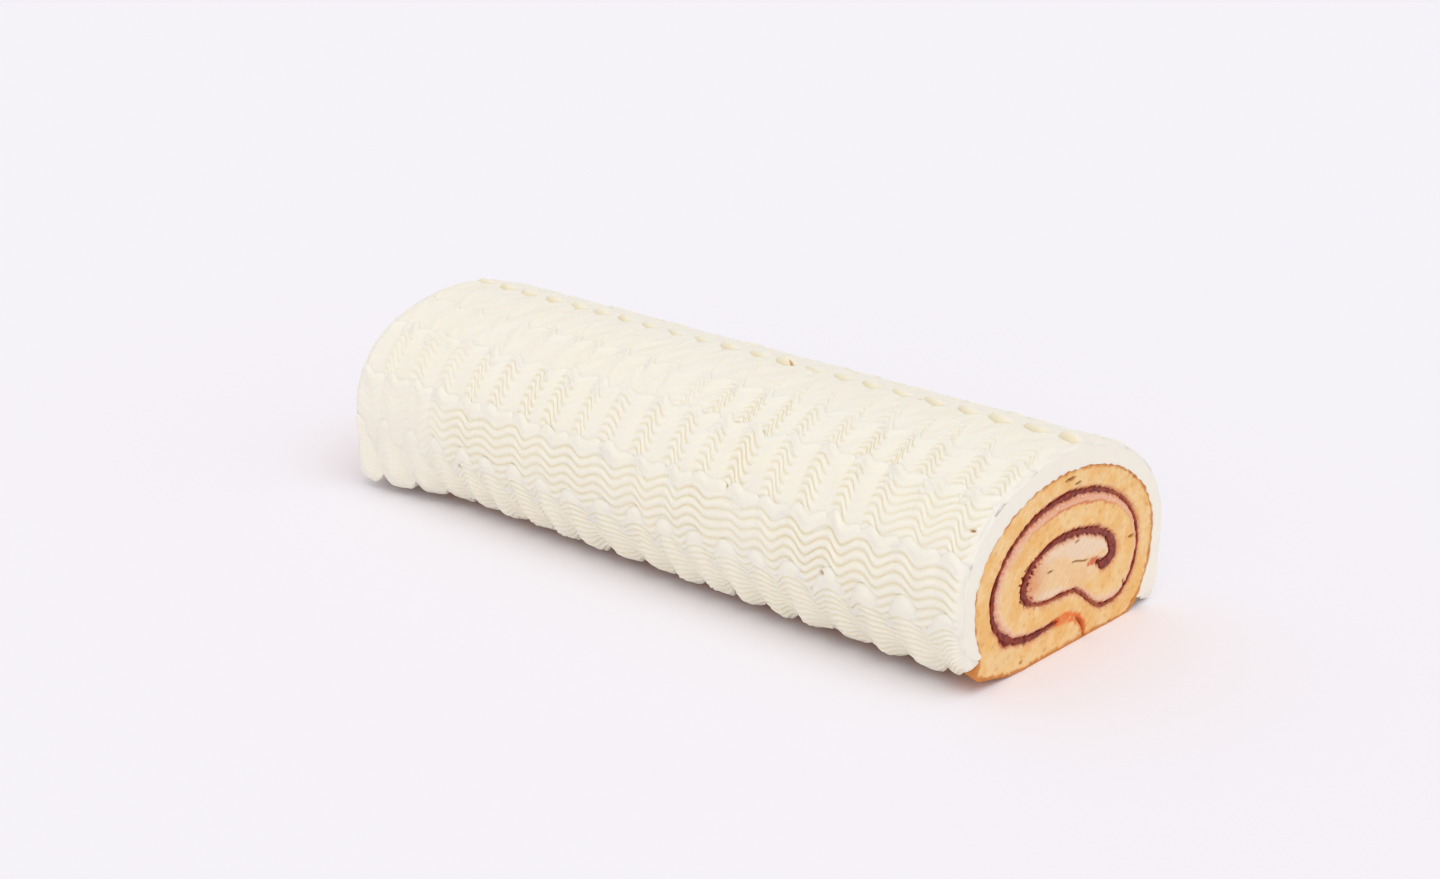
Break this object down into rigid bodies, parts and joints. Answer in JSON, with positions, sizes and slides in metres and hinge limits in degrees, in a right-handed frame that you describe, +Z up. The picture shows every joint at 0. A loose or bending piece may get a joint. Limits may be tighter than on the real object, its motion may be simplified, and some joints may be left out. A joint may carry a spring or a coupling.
{
  "type": "swiss roll cake",
  "caption": "Log of rolled sponge cake with a dark jam spiral at both cut ends, under a white cream coat piped lengthwise in ruffled rows; it rests on the sponge's flat underside.",
  "frame": {"origin": "on the surface that the cake stands on, below the middle of its bounding box", "axes": "+X along the log, +Y across it, +Z up"},
  "size_m": [0.28, 0.1155, 0.0704],
  "materials": {
    "sponge": "dry open yellow crumb with a thin browned skin",
    "jam": "moist dark red fruit jam",
    "cream": "satin whipped cream, slightly warm white"
  },
  "bodies": {
    "root": {"sponge_sheet": "sponge", "jam_layer": "jam", "cream_coat": "cream"}
  },
  "joints": []
}
